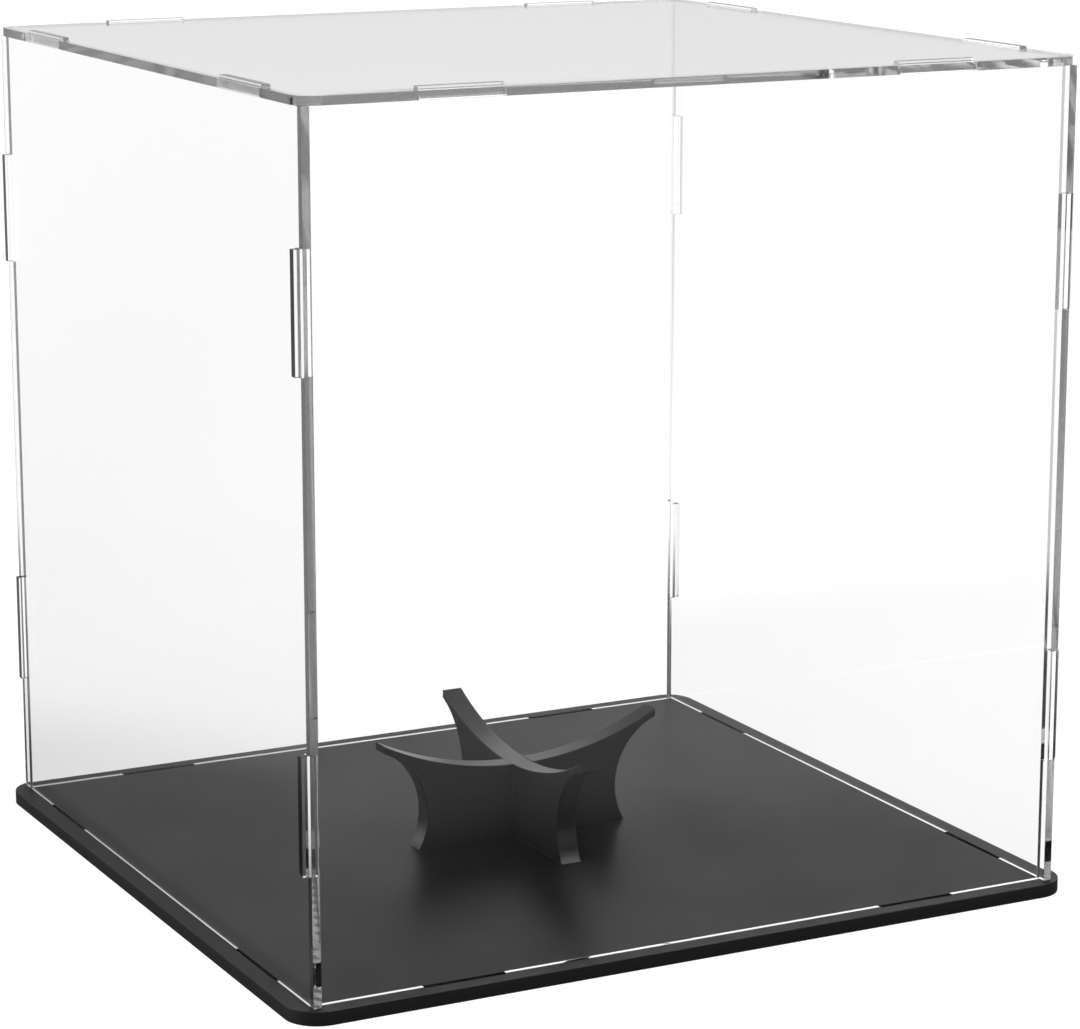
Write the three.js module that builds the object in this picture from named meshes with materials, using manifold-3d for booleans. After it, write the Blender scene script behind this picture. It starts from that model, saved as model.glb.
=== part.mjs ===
// Display case for a basketball-sized collectible: a black base plate, four clear walls,
// a clear top plate and a cross of two half-lapped stand plates. Every piece is cut from flat
// sheet, and the walls lock together with tabs in slots, without glue or screws.
// Millimetres, +Z up, origin under the middle of the base, front towards -Y.

import * as THREE from 'three';
import { mergeVertices } from 'three/addons/utils/BufferGeometryUtils.js';
import Module from 'manifold-3d';

const wasm = await Module();
wasm.setup();

// ---- driving dimensions ----

const BASE_WIDTH = 300;
const BASE_DEPTH = 285;
const BASE_T = 5;
const BASE_CORNER_R = 12;

const WALL_T = 3;
const WALL_H = 290;
const SIDE_OUTER_X = 143.5;       // outer face of the left and right panels
const SIDE_HALF_LENGTH = 139;     // the side panels run past the front and back panels
const FRONT_OUTER_Y = 136.7;      // outer face of the front and back panels

const TOP_OVERHANG = 1.2;         // past the side panels' faces and cut ends
const TOP_T = 3;
const TOP_CORNER_R = 8;

const FIT_GAP = 0.15;             // between a tab and each side of its slot
const SEAT_GAP = 0.1;             // under the walls and under the top plate

const FRONT_TAB = { centre: 88, length: 30 };      // on the front and back panels' long edges
const SIDE_TAB = { centre: 91.5, length: 35 };     // on the side panels' long edges
const CORNER_TAB = { centre: 81, length: 40 };     // up and down from the walls' mid height
const TOP_TAB_PROUD = 1;          // above the top plate
const CORNER_TAB_PROUD = 2;       // outside the side panels
const BASE_TAB_SHORT = 0.3;       // from the bottom tabs to the base's underside

const STAND_T = 8;
const STAND_FOOT_HALF = 42.7;
const STAND_WAIST_HALF = 39;
const STAND_TIP_HALF = 56;
const STAND_SIDE_R = 26.5;        // the hollow sides' radius
const BALL_R = 122;               // the ball that the cradle is cut for
const CRADLE_LOW = 27.5;          // the cradle's lowest point above the stand's foot
const LAP_GAP = 0.2;              // where one stand plate's notch ends over the other's web

const ARC_SEGMENTS = 12;
const CUT_PAST = 1;               // how far a cut runs out of the solid that it is made in

// ---- derived places ----

const wallBottom = BASE_T + SEAT_GAP;
const wallTop = wallBottom + WALL_H;
const topBottom = wallTop + SEAT_GAP;
const wallMid = wallBottom + WALL_H / 2;
const tabTop = topBottom + TOP_T + TOP_TAB_PROUD;
const frontHalfWidth = SIDE_OUTER_X - WALL_T - FIT_GAP;
const cornerTabEnd = SIDE_OUTER_X + CORNER_TAB_PROUD;
const sideMidX = SIDE_OUTER_X - WALL_T / 2;
const frontMidY = FRONT_OUTER_Y - WALL_T / 2;

// ---- materials ----

function clearAcrylic() {
  return new THREE.MeshStandardMaterial({
    color: 0xe9eeef, roughness: 0.05, metalness: 0, transparent: true, opacity: 0.3,
  });
}

function blackAcrylic() {
  return new THREE.MeshStandardMaterial({ color: 0x1b1b1c, roughness: 0.45, metalness: 0 });
}

// ---- solids ----

function solidOf(geometry) {
  const bare = geometry.clone();
  bare.deleteAttribute('normal');
  bare.deleteAttribute('uv');
  const merged = mergeVertices(bare);
  return new wasm.Manifold(new wasm.Mesh({
    numProp: 3,
    vertProperties: new Float32Array(merged.attributes.position.array),
    triVerts: new Uint32Array(merged.index.array),
  }));
}

// A box solid from the ranges that it spans along each axis.
function block([x0, x1], [y0, y1], [z0, z1]) {
  const geometry = new THREE.BoxGeometry(x1 - x0, y1 - y0, z1 - z0);
  geometry.translate((x0 + x1) / 2, (y0 + y1) / 2, (z0 + z1) / 2);
  return solidOf(geometry);
}

function around(centre, width) {
  return [centre - width / 2, centre + width / 2];
}

function extruded(shape, thickness) {
  const options = { depth: thickness, bevelEnabled: false, curveSegments: ARC_SEGMENTS };
  return new THREE.ExtrudeGeometry(shape, options);
}

function piece(name, solid, material) {
  const { vertProperties, triVerts } = solid.getMesh();
  const geometry = new THREE.BufferGeometry();
  geometry.setAttribute('position', new THREE.BufferAttribute(vertProperties, 3));
  geometry.setIndex(new THREE.BufferAttribute(triVerts, 1));
  geometry.computeVertexNormals();
  const mesh = new THREE.Mesh(geometry, material);
  mesh.name = name;
  return mesh;
}

// ---- base and top ----

function roundedRectangle(width, depth, radius) {
  const x = width / 2 - radius;
  const y = depth / 2 - radius;
  const quarter = Math.PI / 2;
  const shape = new THREE.Shape();
  shape.absarc(x, -y, radius, -quarter, 0);
  shape.absarc(x, y, radius, 0, quarter);
  shape.absarc(-x, y, radius, quarter, 2 * quarter);
  shape.absarc(-x, -y, radius, 2 * quarter, 3 * quarter);
  return shape;
}

// A plate with the eight slots that the walls' tabs pass through, the same in the base
// and in the top.
function slottedPlate(width, depth, radius, [z0, z1]) {
  const geometry = extruded(roundedRectangle(width, depth, radius), z1 - z0);
  geometry.translate(0, 0, z0);
  let plate = solidOf(geometry);
  const through = [z0 - CUT_PAST, z1 + CUT_PAST];
  const slotWidth = WALL_T + 2 * FIT_GAP;
  for (const end of [-1, 1]) {
    for (const side of [-1, 1]) {
      const frontSpan = around(end * FRONT_TAB.centre, FRONT_TAB.length + 2 * FIT_GAP);
      const sideSpan = around(end * SIDE_TAB.centre, SIDE_TAB.length + 2 * FIT_GAP);
      plate = plate.subtract(block(frontSpan, around(side * frontMidY, slotWidth), through));
      plate = plate.subtract(block(around(side * sideMidX, slotWidth), sideSpan, through));
    }
  }
  return plate;
}

function basePlate() {
  const plate = slottedPlate(BASE_WIDTH, BASE_DEPTH, BASE_CORNER_R, [0, BASE_T]);
  return piece('base_plate', plate, blackAcrylic());
}

function topPlate() {
  const width = 2 * (SIDE_OUTER_X + TOP_OVERHANG);
  const depth = 2 * (SIDE_HALF_LENGTH + TOP_OVERHANG);
  const plate = slottedPlate(width, depth, TOP_CORNER_R, [topBottom, topBottom + TOP_T]);
  return piece('top_plate', plate, clearAcrylic());
}

// ---- walls ----

// A panel across the case: side is -1 for the front one and 1 for the back one. Two upright
// strips give it its top and bottom tabs, and two strips across give the tabs that pass
// through the side panels.
function crossPanel(name, side) {
  const sheet = around(side * frontMidY, WALL_T);
  let panel = block([-frontHalfWidth, frontHalfWidth], sheet, [wallBottom, wallTop]);
  for (const end of [-1, 1]) {
    const span = around(end * FRONT_TAB.centre, FRONT_TAB.length);
    panel = panel.add(block(span, sheet, [BASE_TAB_SHORT, tabTop]));
    const height = around(wallMid + end * CORNER_TAB.centre, CORNER_TAB.length);
    panel = panel.add(block([-cornerTabEnd, cornerTabEnd], sheet, height));
  }
  return piece(name, panel, clearAcrylic());
}

// A panel along one side of the case: side is -1 for the left one and 1 for the right one.
// It has a slot for each of the cross panels' tabs.
function sidePanel(name, side) {
  const sheet = around(side * sideMidX, WALL_T);
  const through = around(side * sideMidX, WALL_T + 2 * CUT_PAST);
  let panel = block(sheet, [-SIDE_HALF_LENGTH, SIDE_HALF_LENGTH], [wallBottom, wallTop]);
  for (const end of [-1, 1]) {
    const span = around(end * SIDE_TAB.centre, SIDE_TAB.length);
    panel = panel.add(block(sheet, span, [BASE_TAB_SHORT, tabTop]));
  }
  for (const end of [-1, 1]) {
    for (const way of [-1, 1]) {
      const height = around(wallMid + way * CORNER_TAB.centre, CORNER_TAB.length + 2 * FIT_GAP);
      const slot = block(through, around(end * frontMidY, WALL_T + 2 * FIT_GAP), height);
      panel = panel.subtract(slot);
    }
  }
  return piece(name, panel, clearAcrylic());
}

// ---- stand ----

// The outline of both stand plates: a flat foot, hollow sides that flare to blunt tips, and
// a cradle on the ball's own radius.
function standOutline() {
  const sideX = STAND_WAIST_HALF + STAND_SIDE_R;
  const sideZ = Math.sqrt(STAND_SIDE_R ** 2 - (sideX - STAND_FOOT_HALF) ** 2);
  const tipRise = Math.sqrt(STAND_SIDE_R ** 2 - (sideX - STAND_TIP_HALF) ** 2);
  const footAngle = Math.atan2(-sideZ, STAND_FOOT_HALF - sideX);
  const tipAngle = Math.atan2(tipRise, STAND_TIP_HALF - sideX);
  const cradleAngle = Math.asin(STAND_TIP_HALF / BALL_R);
  const down = -Math.PI / 2;
  const shape = new THREE.Shape();
  shape.absarc(sideX, sideZ, STAND_SIDE_R, footAngle, tipAngle, true);
  shape.absarc(0, CRADLE_LOW + BALL_R, BALL_R, down + cradleAngle, down - cradleAngle, true);
  shape.absarc(-sideX, sideZ, STAND_SIDE_R, Math.PI - tipAngle, Math.PI - footAngle, true);
  return shape;
}

// The lower plate lies across the case, notched down from its cradle. The upper one lies
// from front to back, notched up from its foot, so that the two lap at half height.
function standPlate(name, isLower) {
  const geometry = extruded(standOutline(), STAND_T);
  geometry.rotateX(Math.PI / 2);
  geometry.translate(0, STAND_T / 2, BASE_T);
  const across = around(0, STAND_T + 2 * FIT_GAP);
  const through = around(0, STAND_T + 2 * CUT_PAST);
  const lap = BASE_T + CRADLE_LOW / 2;
  if (isLower) {
    const notch = block(across, through, [lap - LAP_GAP / 2, BASE_T + CRADLE_LOW + CUT_PAST]);
    return piece(name, solidOf(geometry).subtract(notch), blackAcrylic());
  }
  geometry.rotateZ(Math.PI / 2);
  const notch = block(through, across, [BASE_T - CUT_PAST, lap + LAP_GAP / 2]);
  return piece(name, solidOf(geometry).subtract(notch), blackAcrylic());
}

// ---- assembly ----

const base = new THREE.Group();
base.add(basePlate());

const stand = new THREE.Group();
stand.add(standPlate('stand_plate_lower', true));
stand.add(standPlate('stand_plate_upper', false));

const cover = new THREE.Group();
cover.add(crossPanel('front_panel', -1));
cover.add(crossPanel('back_panel', 1));
cover.add(sidePanel('left_panel', -1));
cover.add(sidePanel('right_panel', 1));
cover.add(topPlate());

const displayCase = new THREE.Group();
displayCase.add(base, stand, cover);

export default displayCase;
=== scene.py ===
"""Looks for a tab-and-slot display case of clear and black acrylic sheet.

Every piece is cut again from its CAD sheet's own outline, with eased edges, and gets a
procedural acrylic whose polished faces and laser-cut edges differ. Metres, +Z up.
"""

import math

import bmesh
import bpy
from mathutils import Matrix, Vector


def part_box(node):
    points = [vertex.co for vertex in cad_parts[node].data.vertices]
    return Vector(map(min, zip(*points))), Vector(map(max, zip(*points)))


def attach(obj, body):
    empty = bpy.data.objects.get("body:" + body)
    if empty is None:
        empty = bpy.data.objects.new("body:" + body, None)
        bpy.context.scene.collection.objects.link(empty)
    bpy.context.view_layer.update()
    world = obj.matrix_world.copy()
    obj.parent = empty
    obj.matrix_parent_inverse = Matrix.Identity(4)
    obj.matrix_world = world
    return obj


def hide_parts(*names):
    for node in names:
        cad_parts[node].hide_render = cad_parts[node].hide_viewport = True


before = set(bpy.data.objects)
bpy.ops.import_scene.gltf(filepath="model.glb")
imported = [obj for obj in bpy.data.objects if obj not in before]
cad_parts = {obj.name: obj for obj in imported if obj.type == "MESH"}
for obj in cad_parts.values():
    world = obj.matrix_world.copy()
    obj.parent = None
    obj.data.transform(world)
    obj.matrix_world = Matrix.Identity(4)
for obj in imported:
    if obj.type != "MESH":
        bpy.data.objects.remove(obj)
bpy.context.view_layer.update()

MM = 0.001

# ---- camera ----

VIEW_AZIMUTH = -27.22          # degrees from looking along +Y, to the left of the case
VIEW_ELEVATION = 12.66
VIEW_DISTANCE = 1.300
VIEW_TARGET = (0.0062, -0.0071, 0.1265)
LENS_MM = 118.8
SENSOR_MM = 36.0
CLIP_END = 100.0


def add_camera():
    data = bpy.data.cameras.new("camera")
    data.lens = LENS_MM
    data.sensor_width = SENSOR_MM
    data.sensor_fit = "HORIZONTAL"
    data.clip_end = CLIP_END
    camera = bpy.data.objects.new("camera", data)
    azimuth, elevation = math.radians(VIEW_AZIMUTH), math.radians(VIEW_ELEVATION)
    back = Vector((
        math.sin(azimuth) * math.cos(elevation),
        -math.cos(azimuth) * math.cos(elevation),
        math.sin(elevation),
    ))
    camera.location = Vector(VIEW_TARGET) + VIEW_DISTANCE * back
    camera.rotation_euler = back.to_track_quat("Z", "Y").to_euler()
    bpy.context.scene.collection.objects.link(camera)
    bpy.context.scene.camera = camera


# ---- node helpers ----


def new_material(name):
    material = bpy.data.materials.new(name)
    material.use_nodes = True
    material.node_tree.nodes.clear()
    return material, Nodes(material.node_tree)


class Nodes:
    """Adds nodes to a tree. An input is a value, or the socket that it comes from."""

    def __init__(self, tree):
        self.tree = tree

    def add(self, kind, inputs=None, **settings):
        node = self.tree.nodes.new(kind)
        for key, value in settings.items():
            setattr(node, key, value)
        for key, value in (inputs or {}).items():
            if isinstance(value, bpy.types.NodeSocket):
                self.tree.links.new(value, node.inputs[key])
            else:
                node.inputs[key].default_value = value
        return node

    def math(self, operation, a, b=0.0):
        return self.add("ShaderNodeMath", {0: a, 1: b}, operation=operation).outputs[0]

    def vector(self, operation, a, b=(0.0, 0.0, 0.0)):
        return self.add("ShaderNodeVectorMath", {0: a, 1: b}, operation=operation)

    def mix(self, factor, a, b):
        return self.add("ShaderNodeMix", {"Factor": factor, "A": a, "B": b}).outputs[0]

    def range(self, value, low, high, to_low, to_high, smooth=False):
        kind = "SMOOTHSTEP" if smooth else "LINEAR"
        inputs = {"Value": value, "From Min": low, "From Max": high, "To Min": to_low, "To Max": to_high}
        return self.add("ShaderNodeMapRange", inputs, interpolation_type=kind).outputs[0]

    def noise(self, vector, scale, detail=3.0):
        inputs = {"Vector": vector, "Scale": scale, "Detail": detail}
        return self.add("ShaderNodeTexNoise", inputs).outputs["Fac"]

    def stretched(self, vector, scale):
        return self.add("ShaderNodeMapping", {"Vector": vector, "Scale": scale}).outputs[0]

    def bump(self, height, strength, distance):
        inputs = {"Strength": strength, "Distance": distance, "Height": height}
        return self.add("ShaderNodeBump", inputs).outputs[0]


# ---- light and floor ----

BACKDROP = 1.02                # the white that shows behind the case, just over-exposed
FLOOR_GLOW = 0.985             # the floor is lit from below, like a light table
WHITE = (1.0, 1.0, 1.0, 1.0)
FLOOR_COLOUR = (0.1, 0.1, 0.1, 1.0)
FLOOR_SIZE = 60.0
MOST_BOUNCES = 44              # enough for light that zigzags inside the sheets
DIFFUSE_BOUNCES = 4

# The studio that reflects in the case: pairs of the elevation's sine and the light there, in
# the white sweep and to the sides of it. A softbox or the sweep is full within so many degrees
# of its middle, and ends at its rim.
SWEEP_BANDS = ((0.0, 0.72), (0.12, 0.72), (0.2, 0.68), (0.5, 1.95), (0.65, 0.32), (1.0, 0.32))
SIDE_BANDS = ((0.0, 0.72), (0.12, 0.72), (0.2, 0.22), (0.4, 0.32), (0.6, 0.48), (1.0, 0.32))
MOST_LIGHT = 2.0               # a colour ramp holds shares of this, from 0 to 1
SWEEP = {"azimuth": 55.0, "elevation": 0.0, "full": 18.0, "rim": 45.0}
LEFT_LIGHT = 3.6
LEFT_BOX = {"azimuth": -66.0, "elevation": 5.0, "full": 18.0, "rim": 37.0}
FRONT_LIGHT = 3.6
FRONT_BOX = {"azimuth": 145.0, "elevation": 50.0, "full": 15.0, "rim": 27.0}

# What reflects from the floor: a painted shadow of the case makes it dark close round the case, and
# painted dimmer light makes it dimmer off to its left.
PAINTED_SHADOW_RADIUS = 0.24
LIT_RADIUS = 0.36
PAINTED_SHADOW_GLOW = 0.04
LEFT_GLOW = 0.5
FAR_GLOW = 0.95
LEFT_FLOOR = {"azimuth": -60.0, "elevation": 0.0, "full": 30.0, "rim": 48.0}


def straight_sight(nodes):
    """1 for a ray from the camera that nothing but clear sheet has turned, otherwise 0."""
    path = nodes.add("ShaderNodeLightPath").outputs
    seen = nodes.math("ADD", path["Is Camera Ray"], path["Is Transmission Ray"])
    turns = nodes.math("ADD", path["Glossy Depth"], path["Diffuse Depth"])
    return nodes.math("MULTIPLY", seen, nodes.math("LESS_THAN", turns, 0.5))


def toward(azimuth, elevation):
    """The unit vector at that azimuth, from +Y towards +X, and that elevation, in degrees."""
    around, up = math.radians(azimuth), math.radians(elevation)
    return (math.sin(around) * math.cos(up), math.cos(around) * math.cos(up), math.sin(up))


def level(nodes, direction):
    """The unit vector along a direction's level part."""
    flat = nodes.vector("MULTIPLY", direction, (1.0, 1.0, 0.0)).outputs[0]
    return nodes.vector("NORMALIZE", flat).outputs[0]


def facing(nodes, direction, azimuth, elevation, full, rim):
    """1 within full degrees of that azimuth and elevation, and 0 from rim degrees off them."""
    along = nodes.vector("DOT_PRODUCT", direction, toward(azimuth, elevation)).outputs["Value"]
    far, near = math.cos(math.radians(rim)), math.cos(math.radians(full))
    return nodes.range(along, far, near, 0.0, 1.0, smooth=True)


def light_bands(nodes, height, bands):
    """A colour ramp of light by height."""
    node = nodes.add("ShaderNodeValToRGB", {"Fac": height})
    ramp = node.color_ramp
    for place, light in bands[2:]:
        ramp.elements.new(place)
    for element, (place, light) in zip(ramp.elements, bands):
        share = light / MOST_LIGHT
        element.position = place
        element.color = (share, share, share, 1.0)
    return nodes.math("MULTIPLY", node.outputs[0], MOST_LIGHT)


def add_world():
    world = bpy.data.worlds.new("studio")
    world.use_nodes = True
    world.node_tree.nodes.clear()
    nodes = Nodes(world.node_tree)
    direction = nodes.add("ShaderNodeTexCoord").outputs["Generated"]
    height = nodes.add("ShaderNodeSeparateXYZ", {0: direction}).outputs["Z"]
    sweep = light_bands(nodes, height, SWEEP_BANDS)
    sides = light_bands(nodes, height, SIDE_BANDS)
    light = nodes.mix(facing(nodes, level(nodes, direction), **SWEEP), sides, sweep)
    for box, box_light in ((LEFT_BOX, LEFT_LIGHT), (FRONT_BOX, FRONT_LIGHT)):
        glow = nodes.math("MULTIPLY", facing(nodes, direction, **box), box_light)
        light = nodes.math("ADD", light, glow)
    light = nodes.mix(straight_sight(nodes), light, BACKDROP)
    background = nodes.add("ShaderNodeBackground", {"Color": WHITE, "Strength": light})
    nodes.add("ShaderNodeOutputWorld", {"Surface": background.outputs[0]})
    bpy.context.scene.world = world


def floor_material():
    """White to a straight sight, and dimmer to what the case reflects, with a painted shadow of the case
    close round it and painted dimmer light off to its left.
    """
    material, nodes = new_material("floor_light_table")
    position = nodes.add("ShaderNodeNewGeometry").outputs["Position"]
    radius = nodes.vector("LENGTH", position).outputs["Value"]
    to_left = facing(nodes, level(nodes, position), **LEFT_FLOOR)
    far_glow = nodes.mix(to_left, FAR_GLOW, LEFT_GLOW)
    # The glow that the case reflects carries a painted shadow of the case within a radius round it, and
    # painted dimmer light off to its left.
    away = nodes.range(radius, PAINTED_SHADOW_RADIUS, LIT_RADIUS, 0.0, 1.0, smooth=True)
    reflected = nodes.mix(away, PAINTED_SHADOW_GLOW, far_glow)
    glow = nodes.mix(straight_sight(nodes), reflected, FLOOR_GLOW)
    emission = nodes.add("ShaderNodeEmission", {"Color": WHITE, "Strength": glow})
    paper = nodes.add("ShaderNodeBsdfDiffuse", {"Color": FLOOR_COLOUR})
    both = nodes.add("ShaderNodeAddShader", {0: emission.outputs[0], 1: paper.outputs[0]})
    nodes.add("ShaderNodeOutputMaterial", {"Surface": both.outputs[0]})
    return material


def add_floor():
    mesh = bpy.data.meshes.new("floor")
    half = FLOOR_SIZE / 2
    corners = [(-half, -half, 0), (half, -half, 0), (half, half, 0), (-half, half, 0)]
    mesh.from_pydata(corners, [], [(0, 1, 2, 3)])
    floor = bpy.data.objects.new("floor", mesh)
    bpy.context.scene.collection.objects.link(floor)
    mesh.materials.append(floor_material())


def set_up_render_look():
    scene = bpy.context.scene
    scene.view_settings.view_transform = "Standard"
    scene.view_settings.look = "None"
    scene.cycles.max_bounces = MOST_BOUNCES
    scene.cycles.transmission_bounces = MOST_BOUNCES
    scene.cycles.glossy_bounces = MOST_BOUNCES
    scene.cycles.diffuse_bounces = DIFFUSE_BOUNCES


# ---- materials ----

CUT = "cut_edge"               # 1 on a sheet's laser-cut edges and 0 on its faces
ACRYLIC_IOR = 1.49
ABSORPTION_PER_M = 3.6
BLACK = (0.0, 0.0, 0.0, 1.0)
FACE_ON_GLOSS = (0.25, 0.25, 0.25, 1.0)    # the share that a clear sheet keeps of its face-on gloss
CUT_EDGE_SPECULAR = 0.5

# Noise scales, per metre.
STRIAE_SCALE = 2600.0          # across the striae
STRIAE_LENGTH_SCALE = 60.0     # along them, through the sheet's thickness
WIPE_SCALE = 14.0              # faint wipe marks on a polished face
CUT_SCALE = 400.0              # patches on a cut edge
CLOUD_SCALE = 22.0             # the slow change over a black face
GRAIN_SCALE = 3500.0           # a black face's satin grain
MIDDLE = (0.3, 0.7)            # the part of a noise's range that is spread over the values below
WIPED = (0.55, 0.8)            # the peaks, which are all that shows as wipe marks
WIPE_ROUGHNESS = (0.0, 0.01)
CLEAR_CUT_ROUGHNESS = (0.01, 0.04)
FACE_SPREAD = 0.03             # of a black face's roughness, each way
CUT_SPREAD = 0.02              # of a black cut edge's
SHADES = (0.92, 1.08)          # of a black face's colour

CLEAR_STRIAE = {"strength": 0.1, "distance": 0.03 * MM}
BLACK_STRIAE = {"strength": 0.01, "distance": 0.01 * MM}
SATIN_GRAIN = {"strength": 0.015, "distance": 0.01 * MM}

BLACK_CUT_COLOUR = (0.005, 0.005, 0.0053, 1.0)
BASE_COLOUR = (0.017, 0.017, 0.018)
STAND_COLOUR = (0.022, 0.022, 0.023)


def cut_striae(nodes, position, normal_axis):
    """Fine ridges that the laser leaves across a sheet's thickness, as a height from 0 to 1."""
    scale = [STRIAE_SCALE, STRIAE_SCALE, STRIAE_SCALE]
    scale[normal_axis] = STRIAE_LENGTH_SCALE
    return nodes.noise(nodes.stretched(position, scale), 1.0, detail=2.0)


def clear_acrylic(name, normal_axis):
    """Clear acrylic, polished on a sheet's faces and a little rough on its laser-cut edges."""
    material, nodes = new_material(name)
    position = nodes.add("ShaderNodeTexCoord").outputs["Object"]
    cut = nodes.add("ShaderNodeAttribute", attribute_name=CUT).outputs["Fac"]
    wipe = nodes.noise(position, WIPE_SCALE, detail=4.0)
    face_roughness = nodes.range(wipe, *WIPED, *WIPE_ROUGHNESS)
    cut_roughness = nodes.range(nodes.noise(position, CUT_SCALE), *MIDDLE, *CLEAR_CUT_ROUGHNESS)
    roughness = nodes.mix(cut, face_roughness, cut_roughness)
    striae = nodes.math("MULTIPLY", cut_striae(nodes, position, normal_axis), cut)
    bump = nodes.bump(striae, **CLEAR_STRIAE)
    shader = nodes.add("ShaderNodeBsdfPrincipled", {
        "Base Color": WHITE,
        "Roughness": roughness,
        "IOR": ACRYLIC_IOR,
        "Specular Tint": FACE_ON_GLOSS,
        "Transmission Weight": 1.0,
        "Normal": bump,
    })
    volume = nodes.add("ShaderNodeVolumeAbsorption", {
        "Color": BLACK,
        "Density": ABSORPTION_PER_M,
    })
    nodes.add("ShaderNodeOutputMaterial", {
        "Surface": shader.outputs[0],
        "Volume": volume.outputs[0],
    })
    return material


def black_face(name, colour, roughness, specular):
    """The satin face of a black sheet."""
    material, nodes = new_material(name)
    position = nodes.add("ShaderNodeTexCoord").outputs["Object"]
    cloud = nodes.noise(position, CLOUD_SCALE, detail=4.0)
    satin = nodes.range(cloud, *MIDDLE, roughness - FACE_SPREAD, roughness + FACE_SPREAD)
    grain = nodes.noise(position, GRAIN_SCALE, detail=1.0)
    bump = nodes.bump(grain, **SATIN_GRAIN)
    shade = nodes.range(cloud, *MIDDLE, *SHADES)
    tint = nodes.add("ShaderNodeVectorMath", {0: colour, "Scale": shade}, operation="SCALE").outputs[0]
    shader = nodes.add("ShaderNodeBsdfPrincipled", {
        "Base Color": tint,
        "Roughness": satin,
        "IOR": ACRYLIC_IOR,
        "Specular IOR Level": specular,
        "Normal": bump,
    })
    nodes.add("ShaderNodeOutputMaterial", {"Surface": shader.outputs[0]})
    return material


def black_cut_edge(name, normal_axis, roughness):
    """The laser-cut edge of a black sheet."""
    material, nodes = new_material(name)
    position = nodes.add("ShaderNodeTexCoord").outputs["Object"]
    striae = cut_striae(nodes, position, normal_axis)
    sheen = nodes.range(striae, *MIDDLE, roughness - CUT_SPREAD, roughness + CUT_SPREAD)
    bump = nodes.bump(striae, **BLACK_STRIAE)
    shader = nodes.add("ShaderNodeBsdfPrincipled", {
        "Base Color": BLACK_CUT_COLOUR,
        "Roughness": sheen,
        "IOR": ACRYLIC_IOR,
        "Specular IOR Level": CUT_EDGE_SPECULAR,
        "Normal": bump,
    })
    nodes.add("ShaderNodeOutputMaterial", {"Surface": shader.outputs[0]})
    return material


# ---- sheets ----

X_AXIS, Y_AXIS, Z_AXIS = 0, 1, 2
CLEAR_EASE = 0.08 * MM
BLACK_EASE = 0.25 * MM
EASE_STEPS = 1
FLAT_FACE_WEIGHT = 100         # smooth shading follows the large, flat faces

SAME_PLACE = 0.001 * MM        # points of the CAD mesh that are closer than this are joined
SAME_CORNER = 0.002 * MM       # and points of the eased mesh
FLAT = 0.99                    # the least part of a flat face's normal along the sheet's axis
BEND = 1e-4                    # the least sine of the turn at a real corner
SHARP_CORNER = math.radians(50)
MOST_ARC_STEP = math.radians(20)
SAME_STEP = 0.02               # an arc's steps differ by less than this share
ARC_SPLITS = 4                 # each step of a CAD arc becomes this many


def rim_neighbours(bm, axis):
    """For each point on the rim of the sheet's face towards +axis, the two points beside it."""
    faces = {f for f in bm.faces if f.normal[axis] > FLAT}
    rim = [e for e in bm.edges if len([f for f in e.link_faces if f in faces]) == 1]
    beside = {}
    for edge in rim:
        a, b = edge.verts
        beside.setdefault(a, []).append(b)
        beside.setdefault(b, []).append(a)
    return beside


def face_loops(node, axis):
    """The outline and the holes of a CAD sheet's face, as loops of (u, v) points."""
    bm = bmesh.new()
    bm.from_mesh(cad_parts[node].data)
    bmesh.ops.remove_doubles(bm, verts=bm.verts, dist=SAME_PLACE)
    bm.normal_update()
    beside = rim_neighbours(bm, axis)
    u, v = (axis + 1) % 3, (axis + 2) % 3
    loops, seen = [], set()
    for start in beside:
        if start in seen:
            continue
        loop, last, here = [], None, start
        while here not in seen:
            seen.add(here)
            loop.append(Vector((here.co[u], here.co[v])))
            ahead = [w for w in beside[here] if w is not last]
            last, here = here, ahead[0]
        loops.append(rounder(corners_only(loop)))
    bm.free()
    return loops


def corners_only(loop):
    """The loop without the points that lie on a straight line between their neighbours."""
    kept = []
    for i, point in enumerate(loop):
        before, after = point - loop[i - 1], loop[(i + 1) % len(loop)] - point
        if abs(before.normalized().cross(after.normalized())) > BEND:
            kept.append(point)
    return kept


def arc_centre(a, b, c):
    """The centre of the circle through three points that are steps of one arc, or None."""
    first, second = b - a, c - b
    same_step = abs(first.length - second.length) < SAME_STEP * first.length
    turn = first.angle(second)
    if not same_step or turn > MOST_ARC_STEP:
        return None
    inward = (second - first).normalized()
    return b + inward * first.length / (2 * math.sin(turn / 2))


def rounder(loop):
    """The loop with points added between those that lie on one arc."""
    count, finer = len(loop), []
    for i, start in enumerate(loop):
        end = loop[(i + 1) % count]
        centre = arc_centre(loop[i - 1], start, end) or arc_centre(start, end, loop[(i + 2) % count])
        finer.append(start)
        if centre is None:
            continue
        for step in range(1, ARC_SPLITS):
            spoke = start.lerp(end, step / ARC_SPLITS) - centre
            finer.append(centre + spoke.normalized() * (start - centre).length)
    return finer


def sheet_curve(name, node, axis, thickness, ease):
    """A CAD sheet's outline as a filled curve in its own plane, with eased edges."""
    curve = bpy.data.curves.new(name, "CURVE")
    curve.dimensions = "2D"
    curve.fill_mode = "BOTH"
    curve.extrude = thickness / 2 - ease
    curve.bevel_depth = ease
    curve.bevel_resolution = EASE_STEPS
    curve.offset = -ease
    for loop in face_loops(node, axis):
        spline = curve.splines.new("POLY")
        spline.points.add(len(loop) - 1)
        for point, place in zip(spline.points, loop):
            point.co = (place.x, place.y, 0.0, 1.0)
        spline.use_cyclic_u = True
    return curve


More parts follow.
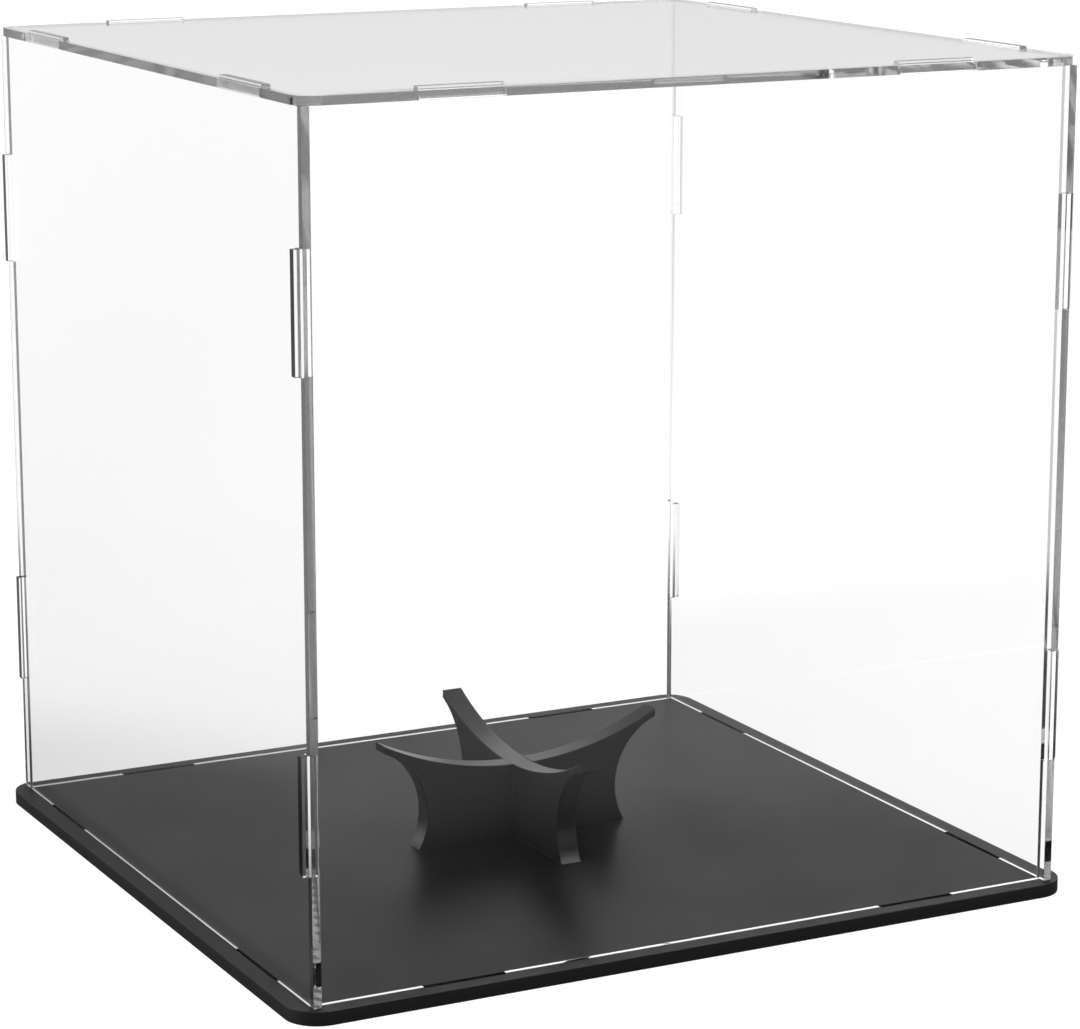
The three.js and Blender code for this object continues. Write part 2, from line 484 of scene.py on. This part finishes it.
def sheet_plane(axis, middle):
    """The matrix that lays a mesh made in the XY plane across the axis, at that place along it."""
    columns = [Vector(), Vector(), Vector()]
    columns[0][(axis + 1) % 3] = 1.0
    columns[1][(axis + 2) % 3] = 1.0
    columns[2][axis] = 1.0
    matrix = Matrix(columns).transposed().to_4x4()
    matrix.translation[axis] = middle
    return matrix


def eased_sheet(name, node, axis, ease):
    """A mesh of a CAD sheet, cut from its outline, with its edges eased by that radius."""
    low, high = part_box(node)
    curve = sheet_curve(name, node, axis, high[axis] - low[axis], ease)
    source = bpy.data.objects.new(name + "_curve", curve)
    bpy.context.scene.collection.objects.link(source)
    bpy.context.view_layer.update()
    depsgraph = bpy.context.evaluated_depsgraph_get()
    mesh = bpy.data.meshes.new_from_object(source.evaluated_get(depsgraph))
    bpy.data.objects.remove(source)
    mesh.name = name
    mesh.transform(sheet_plane(axis, (low[axis] + high[axis]) / 2))
    clean(mesh)
    return mesh


def clean(mesh):
    """Joins the mesh into one closed, smooth surface whose real corners stay sharp."""
    bm = bmesh.new()
    bm.from_mesh(mesh)
    bmesh.ops.remove_doubles(bm, verts=bm.verts, dist=SAME_CORNER)
    bmesh.ops.recalc_face_normals(bm, faces=bm.faces)
    for face in bm.faces:
        face.smooth = True
    loose = [e for e in bm.edges if len(e.link_faces) != 2]
    if loose:
        raise RuntimeError(f"{mesh.name} has {len(loose)} edges that aren't between two faces")
    bm.to_mesh(mesh)
    bm.free()
    mesh.set_sharp_from_angle(angle=SHARP_CORNER)


def mark_cut_edges(mesh, axis):
    """Gives the cut edges the second material, and the attribute that the clear acrylic reads."""
    attribute = mesh.attributes.new(CUT, "FLOAT", "FACE")
    for polygon, value in zip(mesh.polygons, attribute.data):
        cut = abs(polygon.normal[axis]) < FLAT
        value.value = 1.0 if cut else 0.0
        polygon.material_index = 1 if cut else 0


def add_sheet(node, body, axis, ease, face_material, cut_material):
    mesh = eased_sheet(node + "_sheet", node, axis, ease)
    mesh.materials.clear()
    mesh.materials.append(face_material)
    mesh.materials.append(cut_material)
    mark_cut_edges(mesh, axis)
    piece = bpy.data.objects.new(mesh.name, mesh)
    bpy.context.scene.collection.objects.link(piece)
    normals = piece.modifiers.new("flat_faces", "WEIGHTED_NORMAL")
    normals.mode = "FACE_AREA"
    normals.weight = FLAT_FACE_WEIGHT
    normals.keep_sharp = True
    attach(piece, body)
    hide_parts(node)
    return piece


def add_clear_sheet(node, body, axis):
    """A clear sheet has one material for all of its surface, because it holds the volume too."""
    material = clear_acrylic(node + "_acrylic", axis)
    add_sheet(node, body, axis, CLEAR_EASE, material, material)


def add_case():
    add_clear_sheet("front_panel", "walls", Y_AXIS)
    add_clear_sheet("back_panel", "walls", Y_AXIS)
    add_clear_sheet("left_panel", "walls", X_AXIS)
    add_clear_sheet("right_panel", "walls", X_AXIS)
    add_clear_sheet("top_plate", "top", Z_AXIS)
    face = black_face("base_satin", BASE_COLOUR, roughness=0.4, specular=0.12)
    cut = black_cut_edge("base_cut_edge", Z_AXIS, roughness=0.42)
    add_sheet("base_plate", "base", Z_AXIS, BLACK_EASE, face, cut)


def add_stand():
    face = black_face("stand_satin", STAND_COLOUR, roughness=0.36, specular=0.2)
    cut = black_cut_edge("stand_lower_cut_edge", Y_AXIS, roughness=0.3)
    add_sheet("stand_plate_lower", "stand_lower", Y_AXIS, BLACK_EASE, face, cut)
    cut = black_cut_edge("stand_upper_cut_edge", X_AXIS, roughness=0.3)
    add_sheet("stand_plate_upper", "stand_upper", X_AXIS, BLACK_EASE, face, cut)


add_camera()
add_world()
add_floor()
set_up_render_look()
add_case()
add_stand()
